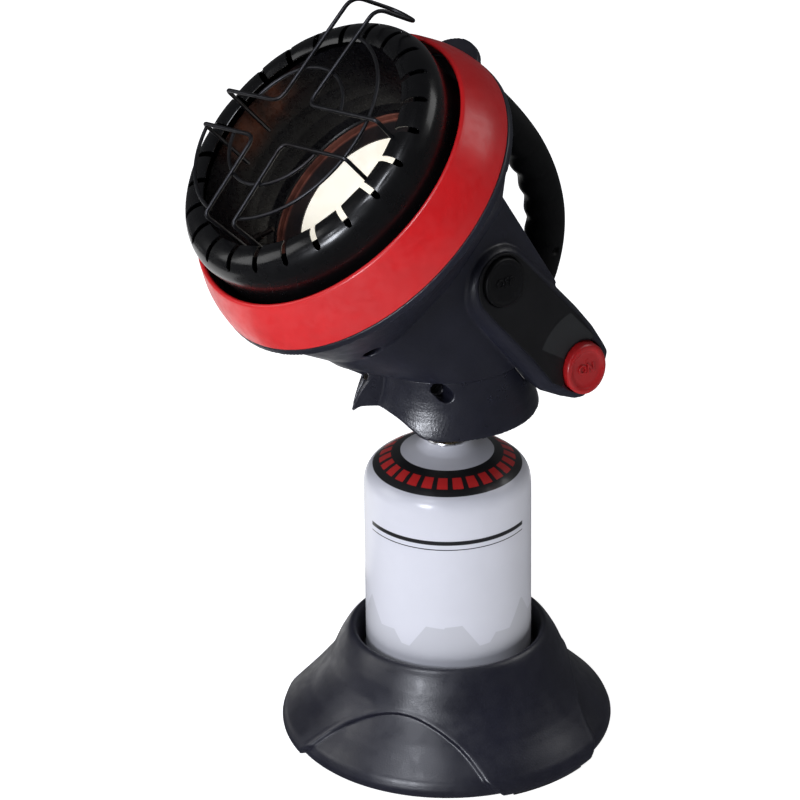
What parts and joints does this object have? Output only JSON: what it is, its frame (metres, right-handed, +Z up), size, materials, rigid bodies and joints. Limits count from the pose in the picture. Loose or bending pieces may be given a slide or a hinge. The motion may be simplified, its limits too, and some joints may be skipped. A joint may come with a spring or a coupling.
{
  "type": "portable propane heater",
  "caption": "Portable radiant gas heater: tilted round burner with wire guard, carrying handle and push buttons, screwed on a gas canister that stands in a moulded foot.",
  "frame": {"origin": "at floor level under the middle of the whole part; the canister and stand axis is 30.5 mm behind it, at y = +0.0305", "axes": "+Z up along the canister, the burner faces -Y and is tilted back 41 degrees, the push buttons are on +X"},
  "size_m": [0.2276, 0.2792, 0.5166],
  "materials": {
    "base_stand": "matte",
    "foot_pads": "matte",
    "canister_shell": "gloss",
    "canister_valve": "satin",
    "inlet_seal": "matte",
    "inlet_adapter": "satin",
    "regulator_body": "satin",
    "gas_pipe": "satin",
    "valve_body": "satin",
    "valve_stem": "satin",
    "jet_pipe": "satin",
    "gas_jet": "satin",
    "mixing_tube": "satin",
    "burner_pan": "satin",
    "tile_gasket": "matte",
    "burner_tile": "matte",
    "burner_clamp_ring": "satin",
    "reflector_dish": "polished",
    "mounting_plate": "satin",
    "front_crown": "gloss",
    "igniter_electrode": "glazed",
    "thermocouple": "satin",
    "guard_cross_wires": "satin",
    "guard_inner_ring": "satin",
    "guard_outer_ring": "satin",
    "bezel_ring": "gloss",
    "housing_right": "matte",
    "housing_left": "matte",
    "hood_right": "matte",
    "hood_left": "matte",
    "control_panel": "matte",
    "housing_screws": "satin",
    "plate_screws": "satin",
    "handle_loop": "matte",
    "handle_grip": "matte",
    "on_button": "gloss",
    "on_spring": "bright",
    "off_button": "satin",
    "off_spring": "bright",
    "piezo_igniter": "matte",
    "piezo_plunger": "matte",
    "cutoff_switch": "matte",
    "tip_switch_case": "matte",
    "tip_pendulum": "satin"
  },
  "bodies": {
    "base": {"base_stand": "base_stand", "foot_pads": "foot_pads"},
    "canister": {"canister_shell": "canister_shell", "canister_valve": "canister_valve"},
    "thread": {"inlet_seal": "inlet_seal"},
    "head": {"inlet_adapter": "inlet_adapter", "regulator_body": "regulator_body", "gas_pipe": "gas_pipe", "valve_body": "valve_body", "jet_pipe": "jet_pipe", "gas_jet": "gas_jet", "mixing_tube": "mixing_tube", "burner_pan": "burner_pan", "tile_gasket": "tile_gasket", "burner_tile": "burner_tile", "burner_clamp_ring": "burner_clamp_ring", "reflector_dish": "reflector_dish", "mounting_plate": "mounting_plate", "front_crown": "front_crown", "igniter_electrode": "igniter_electrode", "thermocouple": "thermocouple", "guard_cross_wires": "guard_cross_wires", "guard_inner_ring": "guard_inner_ring", "guard_outer_ring": "guard_outer_ring", "bezel_ring": "bezel_ring", "housing_right": "housing_right", "housing_left": "housing_left", "hood_right": "hood_right", "hood_left": "hood_left", "control_panel": "control_panel", "housing_screws": "housing_screws", "plate_screws": "plate_screws", "handle_loop": "handle_loop", "handle_grip": "handle_grip", "on_spring": "on_spring", "off_spring": "off_spring", "piezo_igniter": "piezo_igniter", "cutoff_switch": "cutoff_switch", "tip_switch_case": "tip_switch_case"},
    "on_button": {"on_button": "on_button", "valve_stem": "valve_stem", "piezo_plunger": "piezo_plunger"},
    "off_button": {"off_button": "off_button"},
    "tip_weight": {"tip_pendulum": "tip_pendulum"}
  },
  "joints": [
    {"name": "cartridge_lift", "type": "slide", "parent": "base", "child": "canister", "axis": [0, 0, 1], "range_m": [0, 0.06]},
    {"name": "head_lift", "type": "slide", "parent": "canister", "child": "thread", "axis": [0, 0, 1], "range_m": [0, 0.00545]},
    {"name": "head_unscrew", "type": "hinge", "parent": "thread", "child": "head", "pos_m": [0, 0.0305, 0.22], "axis": [0, 0, 1], "range_deg": [0, 2160]},
    {"name": "on_button_press", "type": "slide", "parent": "head", "child": "on_button", "axis": [-1, 0, 0], "range_m": [0, 0.0045], "stiffness_N_per_m": 600, "deforming": ["on_spring"]},
    {"name": "off_button_press", "type": "slide", "parent": "head", "child": "off_button", "axis": [-1, 0, 0], "range_m": [0, 0.003], "stiffness_N_per_m": 500, "deforming": ["off_spring"]},
    {"name": "tip_swing", "type": "hinge", "parent": "head", "child": "tip_weight", "pos_m": [-0.03, 0.0765, 0.312], "axis": [0, 1, 0], "range_deg": [-18, 18]}
  ],
  "couplings": [
    {"joint": "head_lift", "follows": "head_unscrew", "m_per_rad": 0.00014437}
  ]
}
